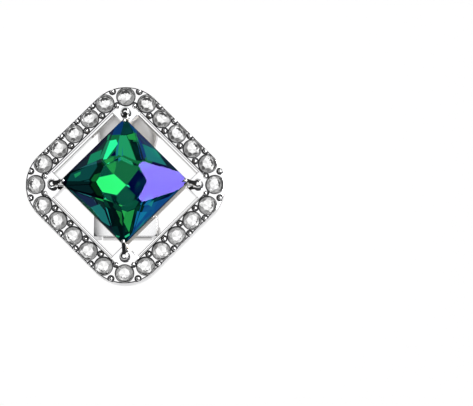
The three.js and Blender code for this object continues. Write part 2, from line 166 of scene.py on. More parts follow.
# Claws, and where painted shade starts on their tips against the stone
CLAW_TIP = 7.03
CLAW_RINGS = (
    # distance along the diagonal, height, lean, half thickness, half width
    (8.25, 3.30, 0, 0.20, 0.24),
    (8.05, 3.72, -38, 0.20, 0.23),
    (7.72, 4.10, -42, 0.18, 0.22),
    (7.42, 4.55, -24, 0.17, 0.21),
    (7.27, 5.00, -12, 0.17, 0.21),
    (7.20, 5.28, -28, 0.16, 0.21),
    (7.05, 5.50, -62, 0.14, 0.20),
    (6.85, 5.59, -82, 0.12, 0.18),
    (6.70, 5.60, -90, 0.09, 0.13),
    (6.64, 5.60, -90, 0.04, 0.06),
)

# Bracket, ears and pin
BRACKET_HALF_WIDTH = 3.6
BRACKET_THICKNESS = 0.6
BRACKET_UPPER = 2.4
BRACKET_LOWER = -5.7
BRACKET_OVERLAP = 0.1
BRACKET_EDGE = 0.03
EAR_THICKNESS = 0.6
EAR_RADIUS = 0.85
EAR_ROOT_END = 2.6
EAR_SHOULDER = 1.1
EAR_EDGE = 0.1
HINGE_Y = -4.65
PIN_RADIUS = 0.42
PIN_SPARE = 0.2
PIN_HOLE_RADIUS = 0.5
PIN_HOLE_LENGTH = 2.0
PIN_HEAD_GAP = 0.05
PIN_HEAD = ((0, 0), (0.68, 0), (0.68, 0.05), (0.5, 0.14), (0.25, 0.18), (0, 0.18))

# Paddle: its barrel, its arm with a waist, and its dished pad
BARREL_RADIUS = 0.9
BARREL_GAP = 0.15
BARREL_EDGE = 0.12
BORE_SPARE = 1.0
PADDLE_THICKNESS = 0.65
ARM_LENGTH = 9.4
ARM_EDGE = 0.12
ARM_WAIST = 1.35
ARM_ROOT_FLARE = 0.95
ARM_ROOT_CURVE = 2.2
ARM_PAD_FLARE = 2.85
ARM_PAD_CURVE = 1.4
ARM_PAD_START = 0.55
PAD_FROM_HINGE = 11.3
PAD_RADIUS = 3.5
PAD_THICKNESS = 0.9
PAD_EDGE = (
    # how far in from the pad's radius, height
    (0.2, 0.0), (0.06, 0.06), (0.0, 0.2), (0.0, 0.75), (0.05, 0.86), (0.16, 0.9), (0.28, 0.87),
)
PAD_RIM = 0.35
PAD_DISH = 0.18
PAD_DISH_CURVE = 0.55
PAD_DISH_RINGS = (0.97, 0.8, 0.6, 0.4, 0.2, 0.0)

# Faces that meet under this many degrees are shaded as one surface
SMOOTH_CURVE = 35
SMOOTH_BRIDGE = 20
SMOOTH_BAND = 12
SMOOTH_FACET = 1

# How a face's normal must lie: down for a pavilion, up for a table, and out for a wall
FACES_DOWN = -0.05
FACES_UP = 0.999
FACES_OUT = 0.05

# What part of an upright or straight edge runs that way, and how far edges bend
UPRIGHT = 0.9
STRAIGHT = 0.99
SHARP_EDGE = math.radians(60)
FLAT_EDGE = math.radians(1)

# Camera. Its clip range is in metres.
CAMERA_PLACE = Vector((12.6, -1.9, 249))
CAMERA_LENS = 163
CAMERA_SENSOR = 36
CAMERA_CLIP = (0.01, 20)

# Floor. It is a light table, whose half size is in metres.
FLOOR_HALF = 3
FLOOR_GREY = 0.8
FLOOR_ROUGHNESS = 0.9
FLOOR_GLOW = 0.52
FLOOR_GLOW_SEEN = 0.28

# Strip light, in metres, with its aim in millimetres
STRIP_DISTANCE = 0.4
STRIP_LENGTH = 0.43
STRIP_WIDTH = 0.1
STRIP_RADIANCE = 16.5
STRIP_AIM = Vector((4, -4, 5))

# Studio tent: its height from 0 at the horizon to 1 overhead, and how bright it is there
STUDIO_BANDS = ((0.0, 0.35), (0.25, 0.30), (0.40, 0.03), (0.885, 0.03), (0.93, 1.0), (1.0, 1.0))
STUDIO_STRENGTH = 1.1
BACKDROP_STRENGTH = 1.05

# Finishes. Noise scales are per metre.
WHITE = (1.0, 1.0, 1.0)
SMEAR_SCALE = 420
MARKS_SCALE = (900, 14000, 900)
MARKS_TURN = (0.4, 0.2, 0.7)
MARKS_STRENGTH = 0.15
MARKS_HEIGHT = 0.02
STONE_IOR = 1.65
CRYSTAL_IOR = 1.55
# Index of the dark metal that paints shade in hollows, on the lip's slope and on the claws' tips
PAINTED_SHADE_INDEX = 1
# Painted shade on the cup's wall, dark under the stone and light at its foot
CUP_PAINTED_SHADE = (
    # height between the cup's foot and its rim, colour
    (0.0, (0.88, 0.86, 0.84)), (0.22, (0.52, 0.48, 0.42)),
    (0.55, (0.30, 0.27, 0.22)), (1.0, (0.15, 0.14, 0.12)),
)


# -- Nodes


def set_inputs(node, values):
    for socket, value in values.items():
        node.inputs[socket].default_value = value


def add_node(tree, kind, values=None, operation=None):
    node = tree.nodes.new(kind)
    if operation:
        node.operation = operation
    set_inputs(node, values or {})
    return node


def add_ramp(tree, stops):
    """A ramp through colours at places from 0 to 1."""
    ramp = add_node(tree, "ShaderNodeValToRGB")
    elements = ramp.color_ramp.elements
    elements[0].color = (*stops[0][1], 1)
    elements[1].color = (*stops[-1][1], 1)
    for position, colour in stops[1:-1]:
        elements.new(position).color = (*colour, 1)
    return ramp


def shader_of(material):
    return material.node_tree.nodes["Principled BSDF"]


def new_material(name, settings):
    material = bpy.data.materials.new(name)
    material.use_nodes = True
    set_inputs(shader_of(material), settings)
    return material


# -- Camera, light and floor


def add_camera():
    camera = bpy.data.objects.new("camera", bpy.data.cameras.new("camera"))
    SCENE.collection.objects.link(camera)
    camera.location = CAMERA_PLACE * MM
    camera.data.lens = CAMERA_LENS
    camera.data.sensor_width = CAMERA_SENSOR
    camera.data.clip_start, camera.data.clip_end = CAMERA_CLIP
    SCENE.camera = camera


def light_table():
    """A pale matt floor lit from below, brighter to the camera than it is in the metal."""
    paper = new_material(
        "white_light_table",
        {
            "Base Color": (FLOOR_GREY, FLOOR_GREY, FLOOR_GREY, 1), "Roughness": FLOOR_ROUGHNESS,
            "Specular IOR Level": 0.0, "Emission Color": (*WHITE, 1),
        },
    )
    tree = paper.node_tree
    seen = add_node(tree, "ShaderNodeLightPath")
    glow = add_node(tree, "ShaderNodeMath", {1: FLOOR_GLOW_SEEN, 2: FLOOR_GLOW}, "MULTIPLY_ADD")
    tree.links.new(seen.outputs["Is Camera Ray"], glow.inputs[0])
    tree.links.new(glow.outputs["Value"], shader_of(paper).inputs["Emission Strength"])
    return paper


def add_floor():
    bm = bmesh.new()
    bmesh.ops.create_grid(bm, x_segments=1, y_segments=1, size=FLOOR_HALF)
    mesh = bpy.data.meshes.new("floor")
    bm.to_mesh(mesh)
    bm.free()
    mesh.materials.append(light_table())
    floor = bpy.data.objects.new("floor", mesh)
    floor.location.z = CAD_BOX[0].z - HAIR * MM
    SCENE.collection.objects.link(floor)


def mirror_direction(facet):
    """Where the camera's line of sight goes from a facet of the stone, given by its normal."""
    normal = (HALO.to_3x3() @ facet).normalized()
    view = (SCENE.camera.location - HALO @ Vector((0, 0, STONE_TABLE))).normalized()
    return 2 * normal.dot(view) * normal - view


def add_strip_light():
    """A long soft light that both crown facets of the stone's right corner mirror."""
    ends = [mirror_direction(normal) for _, normal in crown_facets(RIGHT_CORNER)[:2]]
    middle = (ends[0] + ends[1]).normalized()
    along = (ends[0] - ends[1]).normalized()
    across = middle.cross(along)
    light = bpy.data.lights.new("right_strip", "AREA")
    light.shape = "RECTANGLE"
    light.size = STRIP_LENGTH
    light.size_y = STRIP_WIDTH
    light.energy = STRIP_RADIANCE * math.pi * STRIP_LENGTH * STRIP_WIDTH
    lamp = bpy.data.objects.new("right_strip", light)
    SCENE.collection.objects.link(lamp)
    place = HALO @ STRIP_AIM + middle * STRIP_DISTANCE
    turn = Matrix((along, across, along.cross(across))).transposed().to_4x4()
    lamp.matrix_world = Matrix.Translation(place) @ turn
    lamp.visible_camera = False
    lamp.visible_diffuse = False


def add_world():
    """A white tent, a dark band below it and a pale horizon. Seen directly it is plain white."""
    world = bpy.data.worlds.new("studio")
    SCENE.world = world
    world.use_nodes = True
    tree = world.node_tree
    link = tree.links.new
    place = add_node(tree, "ShaderNodeTexCoord")
    split = add_node(tree, "ShaderNodeSeparateXYZ")
    link(place.outputs["Generated"], split.inputs["Vector"])
    bands = add_ramp(tree, [(height, (grey, grey, grey)) for height, grey in STUDIO_BANDS])
    link(split.outputs["Z"], bands.inputs["Fac"])
    studio = tree.nodes["Background"]
    set_inputs(studio, {"Strength": STUDIO_STRENGTH})
    link(bands.outputs["Color"], studio.inputs["Color"])
    white = {"Color": (*WHITE, 1), "Strength": BACKDROP_STRENGTH}
    plain = add_node(tree, "ShaderNodeBackground", white)
    seen = add_node(tree, "ShaderNodeLightPath")
    mix = add_node(tree, "ShaderNodeMixShader")
    link(seen.outputs["Is Camera Ray"], mix.inputs["Fac"])
    link(studio.outputs["Background"], mix.inputs[1])
    link(plain.outputs["Background"], mix.inputs[2])
    link(mix.outputs["Shader"], tree.nodes["World Output"].inputs["Surface"])


# -- Finishes


def polish_group():
    """Roughness and height of a polished surface: soft smears and hairline polishing marks."""
    group = bpy.data.node_groups.new("polish", "ShaderNodeTree")
    for name in ("Roughness", "Smear", "Marks"):
        group.interface.new_socket(name, in_out="INPUT", socket_type="NodeSocketFloat")
    for name in ("Roughness", "Height"):
        group.interface.new_socket(name, in_out="OUTPUT", socket_type="NodeSocketFloat")
    link = group.links.new
    given = add_node(group, "NodeGroupInput")
    result = add_node(group, "NodeGroupOutput")
    place = add_node(group, "ShaderNodeTexCoord")
    smear = add_node(group, "ShaderNodeTexNoise", {"Scale": SMEAR_SCALE, "Detail": 3})
    link(place.outputs["Object"], smear.inputs["Vector"])
    amount = add_node(group, "ShaderNodeMath", operation="MULTIPLY_ADD")
    link(smear.outputs["Fac"], amount.inputs[0])
    link(given.outputs["Smear"], amount.inputs[1])
    link(given.outputs["Roughness"], amount.inputs[2])
    link(amount.outputs["Value"], result.inputs["Roughness"])
    lines = {"Rotation": MARKS_TURN, "Scale": MARKS_SCALE}
    stretch = add_node(group, "ShaderNodeMapping", lines)
    link(place.outputs["Object"], stretch.inputs["Vector"])
    marks = add_node(group, "ShaderNodeTexNoise", {"Scale": 1, "Detail": 2})
    link(stretch.outputs["Vector"], marks.inputs["Vector"])
    depth = add_node(group, "ShaderNodeMath", operation="MULTIPLY")
    link(marks.outputs["Fac"], depth.inputs[0])
    link(given.outputs["Marks"], depth.inputs[1])
    link(depth.outputs["Value"], result.inputs["Height"])
    return group


def polished_metal(name, colour, roughness, smear, marks, edge_on=WHITE):
    """Metal with the polish group's smears and marks, tinted where it is seen edge on."""
    settings = {"Base Color": (*colour, 1), "Metallic": 1.0, "Specular Tint": (*edge_on, 1)}
    material = new_material(name, settings)
    shader = shader_of(material)
    tree = material.node_tree
    link = tree.links.new
    polish = add_node(tree, "ShaderNodeGroup")
    polish.node_tree = POLISH
    set_inputs(polish, {"Roughness": roughness, "Smear": smear, "Marks": marks})
    link(polish.outputs["Roughness"], shader.inputs["Roughness"])
    relief = {"Strength": MARKS_STRENGTH, "Distance": MARKS_HEIGHT * MM}
    bump = add_node(tree, "ShaderNodeBump", relief)
    link(polish.outputs["Height"], bump.inputs["Height"])
    link(bump.outputs["Normal"], shader.inputs["Normal"])
    return material


def use_facet_colour(material, socket):
    """Feeds the attribute 'facet_colour' into one socket."""
    facets = add_node(material.node_tree, "ShaderNodeAttribute")
    facets.attribute_name = "facet_colour"
    material.node_tree.links.new(facets.outputs["Color"], shader_of(material).inputs[socket])


def clear_glass(name, ior, tint=WHITE):
    settings = {"Base Color": (*WHITE, 1), "Roughness": 0.0, "IOR": ior, "Transmission Weight": 1.0}
    return new_material(name, {**settings, "Specular Tint": (*tint, 1)})


def foil(name, colour, roughness):
    """The mirror coating behind a stone, glowing in the attribute 'facet_colour' as painted light."""
    settings = {"Base Color": (*colour, 1), "Metallic": 1.0, "Roughness": roughness}
    material = new_material(name, {**settings, "Emission Strength": 1.0})
    use_facet_colour(material, "Emission Color")
    return material


POLISH = polish_group()
SILVER = polished_metal("silver_plate", (0.93, 0.93, 0.94), roughness=0.03, smear=0.05, marks=0.3)
CLIP_METAL = polished_metal("clip_metal", (0.92, 0.91, 0.91), roughness=0.26, smear=0.12, marks=0.6)
SATIN = polished_metal("satin_plate", (0.86, 0.86, 0.87), roughness=0.12, smear=0.06, marks=0.6)
# Dark metal for painted shade in hollows, on the lip's slope and on the claws' tips
PAINTED_SHADE_METAL = polished_metal(
    "painted_shade_metal", (0.055, 0.055, 0.058), roughness=0.35, smear=0.10, marks=0.3,
    edge_on=(0.2, 0.2, 0.2),
)
CUP_SHADED_METAL = polished_metal(
    "painted_shade_cup_metal", CUP_PAINTED_SHADE[-1][1], roughness=0.12, smear=0.04, marks=0.3,
    edge_on=(0.5, 0.47, 0.43),
)
STONE_TABLE_GLASS = clear_glass("stone_table", STONE_IOR, (0.03, 0.04, 0.08))
STONE_CROWN_SHADED_GLASS = clear_glass("painted_shade_stone_crown", STONE_IOR, (0.26, 0.20, 1.0))
STONE_GLOWING_FOIL = foil("painted_glow_stone_foil", (0.002, 0.02, 0.018), roughness=0.03)
CRYSTAL_SHADED_GLASS = clear_glass("painted_shade_crystal_glass", CRYSTAL_IOR)
CRYSTAL_GLOWING_FOIL = foil("painted_glow_crystal_foil", (0.10, 0.10, 0.10), roughness=0.15)
# Painted shade: the crown glasses are tinted facet by facet from 'facet_colour'
use_facet_colour(STONE_CROWN_SHADED_GLASS, "Base Color")
use_facet_colour(CRYSTAL_SHADED_GLASS, "Base Color")


# -- Modelling helpers


STAND_ON_CORNER = Matrix.Rotation(math.pi / 4, 4, "Z")
ONTO_X = Matrix.Rotation(math.pi / 2, 4, "Y")


def block(half_x, half_y, low, high):
    bm = bmesh.new()
    bmesh.ops.create_cube(bm, size=1.0)
    bmesh.ops.scale(bm, vec=(2 * half_x, 2 * half_y, high - low), verts=bm.verts)
    bmesh.ops.translate(bm, vec=(0, 0, (high + low) / 2), verts=bm.verts)
    return bm


def soften(bm, edges, width, segments):
    bmesh.ops.bevel(
        bm, geom=edges, offset=width, segments=segments, profile=0.5, affect="EDGES",
        material=-1, clamp_overlap=True,
    )


def upright_edges(bm):
    return [edge for edge in bm.edges if upright(edge)]


def upright(edge):
    start, end = (vert.co for vert in edge.verts)
    return abs(start.z - end.z) > UPRIGHT * edge.calc_length() > 0


def sharp_edges(bm):
    return [edge for edge in bm.edges if edge.calc_face_angle(0) > SHARP_EDGE]


def end_edges(bm):
    """The edges of the flat ends of a shape that lies along X."""
    return [
        edge for edge in bm.edges if abs(edge.verts[0].co.x - edge.verts[1].co.x) < WELD
    ]


def rounded_block(half, radius, low, high, segments):
    bm = block(half, half, low, high)
    soften(bm, upright_edges(bm), radius, segments)
    return bm


def turned(profile, steps):
    """A solid turned about Z from points of radius and height that start and end on the axis."""
    bm = bmesh.new()
    verts = [bm.verts.new((radius, 0, height)) for radius, height in profile]
    edges = [bm.edges.new(pair) for pair in zip(verts, verts[1:])]
    bmesh.ops.spin(
        bm, geom=verts + edges, cent=(0, 0, 0), axis=(0, 0, 1), angle=2 * math.pi,
        steps=steps, use_merge=True,
    )
    bmesh.ops.remove_doubles(bm, verts=bm.verts, dist=WELD)
    bmesh.ops.recalc_face_normals(bm, faces=bm.faces)
    return bm


def rod_along_x(radius, length, place, sides=32, rim=0.0):
    bm = bmesh.new()
    bmesh.ops.create_cone(
        bm, cap_ends=True, segments=sides, radius1=radius, radius2=radius, depth=length,
        matrix=Matrix.Translation(place) @ ONTO_X,
    )
    if rim:
        soften(bm, end_edges(bm), rim, 3)
    return bm


def moved(bm, matrix):
    bmesh.ops.transform(bm, matrix=matrix, verts=bm.verts)
    return bm


def gathered(parts):
    """Several shapes as the shells of one mesh."""
    whole = bmesh.new()
    for part in parts:
        mesh = bpy.data.meshes.new("shell")
        part.to_mesh(mesh)
        part.free()
        whole.from_mesh(mesh)
        bpy.data.meshes.remove(mesh)
    return whole


def copies(make, places):
    return gathered([moved(make(), Matrix.Translation(place)) for place in places])


def four_corners(make):
    """Copies on the four corners of a shape that is given for the corner between +x and +y."""
    turns = [Matrix.Rotation(quarter * math.pi / 2, 4, "Z") for quarter in range(4)]
    return gathered([moved(make(), turn) for turn in turns])


def work_object(bm):
    mesh = bpy.data.meshes.new("work")
    bm.to_mesh(mesh)
    bm.free()
    thing = bpy.data.objects.new("work", mesh)
    SCENE.collection.objects.link(thing)
    return thing


def with_tool(base, tool, operation):
    """The base joined with, or cut by, the tool."""
    base_object = work_object(base)
    tool_object = work_object(tool)
    boolean = base_object.modifiers.new("boolean", "BOOLEAN")
    boolean.operation = operation
    boolean.solver = "EXACT"
    boolean.object = tool_object
    result = bmesh.new()
    result.from_object(base_object, bpy.context.evaluated_depsgraph_get())
    for thing in (base_object, tool_object):
        mesh = thing.data
        bpy.data.objects.remove(thing)
        bpy.data.meshes.remove(mesh)
    bmesh.ops.remove_doubles(result, verts=result.verts, dist=WELD)
    return result


def hull_of(bm):
    """The tight skin round everything in a mesh."""
    hull = bmesh.ops.convex_hull(bm, input=bm.verts)
    inner = [item for item in hull["geom_interior"] + hull["geom_unused"] if item.is_valid]
    verts = [item for item in inner if isinstance(item, bmesh.types.BMVert)]
    bmesh.ops.delete(bm, geom=verts, context="VERTS")
    bmesh.ops.dissolve_limit(bm, angle_limit=FLAT_EDGE, verts=bm.verts, edges=bm.edges)
    bmesh.ops.recalc_face_normals(bm, faces=bm.faces)
    return bm


def paint_shade(bm, places, radius, top):
    """Paints shade, in the dark metal, under the top and near the places, outer walls apart."""
    for face in bm.faces:
        middle = face.calc_center_median()
        if middle.z < top:
            nearest = min(places, key=lambda place: (middle.xy - place.xy).length)
            apart = middle.xy - nearest.xy
            if apart.length < radius and face.normal.xy.dot(apart) < FACES_OUT:
                face.material_index = PAINTED_SHADE_INDEX


def finished(name, bm, place, materials, body, stands_for, smooth_under=SMOOTH_CURVE):
    moved(bm, place)
    mesh = bpy.data.meshes.new(name)
    bm.to_mesh(mesh)
    bm.free()
    for material in materials:
        mesh.materials.append(material)
    mesh.shade_smooth()
    mesh.set_sharp_from_angle(angle=math.radians(smooth_under))
    piece = bpy.data.objects.new(name, mesh)
    SCENE.collection.objects.link(piece)
    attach(piece, body)
    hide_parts(*stands_for)


# -- Where things are


def face_normal():
    mounts = frame["record"]["mounts"]
    back = next(mount for mount in mounts if mount["name"] == "lobe_back")
    return -Vector(back["axis"]).normalized()


def face_matrix(origin):
    """From millimetres on the tilted front to the model's metres."""
    normal = face_normal()
    right = Vector((1, 0, 0))
    up = normal.cross(right)
    turn = Matrix((right, up, normal)).transposed().to_4x4()
    return Matrix.Translation(origin) @ turn @ Matrix.Scale(MM, 4)


def point_of(node):
    """The point at the bottom of a cut stone, where the CAD has it."""
    normal = face_normal()
    return min((vert.co.copy() for vert in frame["nodes"][node].data.vertices), key=normal.dot)


def halo_middle():
    """The middle of the halo's back, under the middle of the ring of crystals."""
    points = [point_of(node) for node in CRYSTAL_NODES]
    return sum(points, Vector()) / len(points) - face_normal() * CRYSTAL_POINT_HEIGHT * MM


CRYSTAL_NODES = sorted(name for name in frame["nodes"] if name.startswith("crystal_"))
HINGE = Vector(frame["joints"][0]["pos_m"])
FRONT = face_matrix(halo_middle())
HALO = FRONT @ STAND_ON_CORNER
PADDLE = Matrix.Translation((0, HINGE.y, 0)) @ Matrix.Scale(MM, 4)
HINGE_Z = (FRONT.inverted() @ HINGE).z


# -- Stones, cut facet by facet


# A facet's number gives it its colour: its row's hundred and its place in the row, or its place
# after the first number of its kind
ROW_NUMBERS = 100
CROWN_NUMBERS = 1000
QUARTER_NUMBERS = 10
PAINTED_REFLECTION_NUMBERS = 2000


def row_number(row, step):
    return row * ROW_NUMBERS + step


def crown_number(quarter, step):
    return CROWN_NUMBERS + QUARTER_NUMBERS * quarter + step


def grind(bm, facet, point, normal):
    """Takes off what lies beyond a plane. The new face keeps the facet's number."""
    everything = bm.verts[:] + bm.edges[:] + bm.faces[:]
    cut = bmesh.ops.bisect_plane(
        bm, geom=everything, dist=CUT_WELD, plane_co=point, plane_no=normal, clear_outer=True,
    )
    rim = [item for item in cut["geom_cut"] if isinstance(item, bmesh.types.BMEdge)]
    if rim:
        number = bm.faces.layers.int["facet"]
        for face in bmesh.ops.contextual_create(bm, geom=rim)["faces"]:
            face[number] = facet


def around(azimuth, reach, height):
    turn = math.radians(azimuth)
    return Vector((reach * math.cos(turn), reach * math.sin(turn), height))


def leaning(azimuth, slope, facing):
    """The normal of a facet that faces along azimuth and leans up or down by slope from level."""
    lean = math.radians(slope)
    return around(azimuth, math.sin(lean), facing * math.cos(lean))


def grind_row(bm, row, azimuths, slope, reach, height, facing, middle=Vector()):
    for step, azimuth in enumerate(azimuths):
        point = middle + around(azimuth, reach, height)
        grind(bm, row_number(row, step), point, leaning(azimuth, slope, facing))


def quarter_turns(*first):
    """Azimuths of facets that repeat on the four sides, in order round the stone."""
    return sorted((azimuth + 90 * quarter) % 360 for azimuth in first for quarter in range(4))


def crown_facets(quarter):
    """A point and the normal of a corner's two facets, then of the facet on the side before it."""
    turn = 90 * quarter
    table_corner = TABLE_MIDDLE + around(turn + 45, TABLE_CORNER_REACH, 0)
    rib_foot = around(turn + 45, STONE_CORNER_REACH, STONE_RIB_FOOT)
    facets = []
    for azimuth in (turn, turn + 90):
        table_side = TABLE_MIDDLE + around(azimuth, TABLE_SIDE_REACH, 0)
        normal = (table_side - table_corner).cross(rib_foot - table_corner).normalized()
        facets.append((table_corner, normal if normal.z > 0 else -normal))
    side = around(turn, STONE_HALF, STONE_GIRDLE_TOP)
    facets.append((side, leaning(turn, SIDE_FACET_SLOPES[quarter], 1)))
    return facets


# Colours that the foil behind the centre stone glows in, as painted reflections of its coating
BRIGHT = (0.03, 0.97, 0.20)
AQUA = (0.026, 0.97, 0.38)
JADE = (0.014, 0.32, 0.13)
LEAF = (0.014, 0.29, 0.06)
EMERALD = (0.006, 0.135, 0.045)
DEEP = (0.002, 0.072, 0.040)
TEAL = (0.008, 0.17, 0.16)
LAGOON = (0.010, 0.19, 0.25)
PETROL = (0.002, 0.035, 0.035)
SKY = (0.006, 0.14, 0.34)
BLUE = (0.003, 0.035, 0.15)
SAPPHIRE = (0.005, 0.060, 0.23)
NAVY = (0.0, 0.001, 0.032)
NIGHT = (0.0, 0.010, 0.009)
SPROUT = (0.019, 0.392, 0.081)
FERN = (0.0, 1.0, 0.42)
REEF = (0.022, 0.50, 0.47)
VIOLET = (0.02, 0.06, 0.18)
# A painted highlight that glows brighter than white
GLARE = (0.08, 2.2, 0.85)
TARN = (0.04, 0.55, 0.60)
INK = (0.014, 0.018, 0.08)
GLINT = (0.02, 0.50, 0.24)

# Pavilion rows of the centre stone, with each row's painted glow colours in order round from the
# +x side. The rows at the point are ground a little off the stone's middle.
STONE_POINT = Vector((-0.18, -0.60, 0.0))
PAVILION_ROWS = (
    # azimuths, slope, reach, height, middle, colours
    (quarter_turns(45), 20.0, 0.0, 0.0, STONE_POINT, (EMERALD, DEEP, DEEP, NAVY)),
    (
        quarter_turns(10, 80), 27.9, 1.723, 0.45, STONE_POINT,
        (EMERALD, EMERALD, DEEP, NIGHT, DEEP, DEEP, NAVY, NAVY),
    ),
    (
        quarter_turns(8, 82), 34.0, 2.872, 1.05, Vector(),
        (EMERALD, NIGHT, PETROL, NIGHT, NIGHT, NIGHT, NAVY, NAVY),
    ),
    (
        quarter_turns(37, 53), 28.2, 6.813, STONE_GIRDLE, Vector(),
        (NIGHT, NIGHT, PETROL, NIGHT, NIGHT, NIGHT, NAVY, NAVY),
    ),
    (quarter_turns(0), 52.0, STONE_HALF, STONE_GIRDLE, Vector(), (BLUE, NIGHT, PETROL, BLUE)),
)

# Painted reflections: patches of colour that the foil glows in, each by its outline seen from above
PAINTED_REFLECTIONS = (
    (BRIGHT, (
        (-2.28, 2.2), (-1.64, 2.34), (-0.18, 1.49), (-0.06, -0.32), (-1.61, -0.43), (-2.54, 0.9),
    )),
    (LEAF, ((-0.14, 2.72), (0.98, 2.3), (0.65, 1.98), (-0.18, 1.49), (-0.28, 1.72))),
    (DEEP, ((-0.54, 2.75), (-0.21, 1.65), (-1.61, 2.37))),
    (NAVY, ((2.19, -0.09), (1.79, -1.71), (-0.22, -2.33), (0.01, -0.38))),
    (DEEP, (
        (-0.39, -0.6), (-0.14, -1.9), (-1.03, -2.27), (-2.17, -1.83), (-2.09, -0.79), (-1.61, -0.6),
    )),
    (DEEP, ((-2.57, 0.86), (-2.09, 0.15), (-2.5, -0.81), (-2.95, 0.05))),
    (NIGHT, ((-2.09, 0.15), (-1.7, -0.55), (-2.1, -0.79), (-2.5, -0.81))),
    (AQUA, ((-0.1, -0.25), (0.02, -0.85), (0.1, -0.52))),
    # top corner
    (BLUE, ((4.85, 4.95), (3.49, 3.72), (2.58, 4.59), (2.7, 5.05), (4.4, 5.05))),
    (AQUA, ((1.88, 4.24), (2.61, 3.74), (2.39, 3.17), (0.2, 2.66), (-0.2, 3.06))),
    (NAVY, ((1.62, 2.75), (1.15, 2.1), (0.98, 2.35), (0.4, 2.62))),
    (LAGOON, ((3.39, 3.83), (1.75, 1.95), (1.15, 2.1), (1.82, 2.84), (3.19, 3.74))),
    (AQUA, ((2.38, 4.83), (2.68, 4.64), (2.05, 4.21), (1.92, 4.36))),
    (PETROL, ((4.9, 4.9), (5.0, 4.3), (4.4, 3.2), (3.3, 3.76))),
    (JADE, ((3.19, 3.79), (3.59, 3.49), (2.0, 0.6), (1.45, 2.1))),
    (LEAF, ((3.62, 3.47), (4.51, 3.03), (3.98, 2.28), (3.39, 2.96))),
    (NIGHT, ((3.3, 2.75), (3.82, 2.14), (2.55, 0.0), (2.05, 0.59))),
    # upper right side
    (BLUE, ((4.43, 2.79), (4.27, 2.03), (3.16, 0.3), (2.55, 0.31))),
    (TEAL, ((4.03, 1.53), (4.92, 0.05), (4.3, -2.06), (2.8, -0.03))),
    (NIGHT, ((4.3, -2.06), (4.45, -3.7), (5.0, -3.2), (4.9, 0.05))),
    (INK, ((5.05, 3.08), (5.05, -0.3), (4.04, 1.66), (4.34, 2.8))),
    # upper left side and left corner
    (FERN, ((-1.61, 3.78), (-0.51, 4.52), (0.81, 3.81), (-0.22, 2.99))),
    (REEF, (
        (-3.61, 4.7), (-1.79, 3.85), (-0.55, 3.15), (-0.75, 2.8), (-2.4, 2.45), (-4.87, 4.26),
    )),
    (GLARE, ((-3.35, 4.33), (-2.55, 3.95), (-2.8, 3.73), (-3.52, 3.89))),
    (TARN, ((-4.9, 4.2), (-2.5, 2.4), (-2.6, 1.4), (-2.95, 1.45), (-4.35, 3.2))),
    # lower left side
    (VIOLET, ((-4.34, 2.97), (-2.8, 1.03), (-3.28, -0.13), (-4.42, 0.74))),
    (REEF, ((-4.28, 0.6), (-2.75, 0.22), (-2.88, -0.66), (-4.22, -2.48), (-4.71, -1.44))),
    # bottom corner
    (SPROUT, ((-2.2, -1.35), (-1.95, -1.95), (-3.04, -3.09))),
    (LEAF, ((-1.15, -2.35), (-2.15, -1.9), (-3.1, -2.75), (-3.58, -4.29))),
    (PETROL, ((-3.7, -2.9), (-4.3, -2.6), (-5.05, -3.8), (-4.5, -4.1))),
    (GLINT, ((-4.79, -3.66), (-4.57, -4.05), (-4.78, -4.11), (-5.04, -3.81))),
    (GLINT, ((-4.29, -4.33), (-3.64, -4.45), (-3.83, -4.67), (-4.37, -4.58))),
    # lower right side
    (SAPPHIRE, ((-3.3, -4.55), (2.8, -4.8), (-0.25, -2.5))),
    (SKY, ((-0.35, -2.35), (0.35, -2.2), (0.95, -2.65), (0.1, -2.8))),
    (LAGOON, ((0.07, -2.55), (0.93, -2.96), (0.18, -3.45))),
    (SKY, ((-1.12, -2.8), (-0.56, -3.58), (-2.8, -4.18))),
)

# Painted shade: how clear the crown is, from the top corner round: a corner's two facets, then the
# side before it
CROWN_PAINTED_CLEARNESS = ((1.0, 1.0, 1.0), (0.12, 0.025, 0.22), (0.5, 1.0, 0.3), (0.55, 0.55, 1.0))


def row_colours(rows):
    """The colour of each facet number, from the colours of each row's facets."""
    return {
        row_number(row, step): colour
        for row, colours in enumerate(rows, 1)
        for step, colour in enumerate(colours)
    }


def glass_grey(clearness):
    """Clear glass takes its tint as the root of its colour."""
    return (clearness ** 2,) * 3


def paint_facets(bm, colours, bare):
    """Writes the colour of each facet number into the attribute 'facet_colour'."""
    number = bm.faces.layers.int["facet"]
    layer = bm.loops.layers.float_color.new("facet_colour")
    for face in bm.faces:
        for loop in face.loops:
            loop[layer] = (*colours.get(face[number], bare), 1)


def stone_shape():
    stone = rounded_block(STONE_HALF, STONE_CORNER_RADIUS, 0, STONE_TABLE, segments=4)
    stone.faces.layers.int.new("facet")
    for row, (azimuths, slope, reach, height, middle, _) in enumerate(PAVILION_ROWS, 1):
        grind_row(stone, row, azimuths, slope, reach, height, -1, middle)
    for quarter in range(4):
        for step, (point, normal) in enumerate(crown_facets(quarter)):
            grind(stone, crown_number(quarter, step), point, normal)
    bmesh.ops.recalc_face_normals(stone, faces=stone.faces)
    return stone


def overlaps(face, low, high):
    """Whether a face reaches into the box from low to high, as seen from above."""
    return all(
        min(vert.co[axis] for vert in face.verts) < high[axis]
        and max(vert.co[axis] for vert in face.verts) > low[axis]
        for axis in range(2)
    )


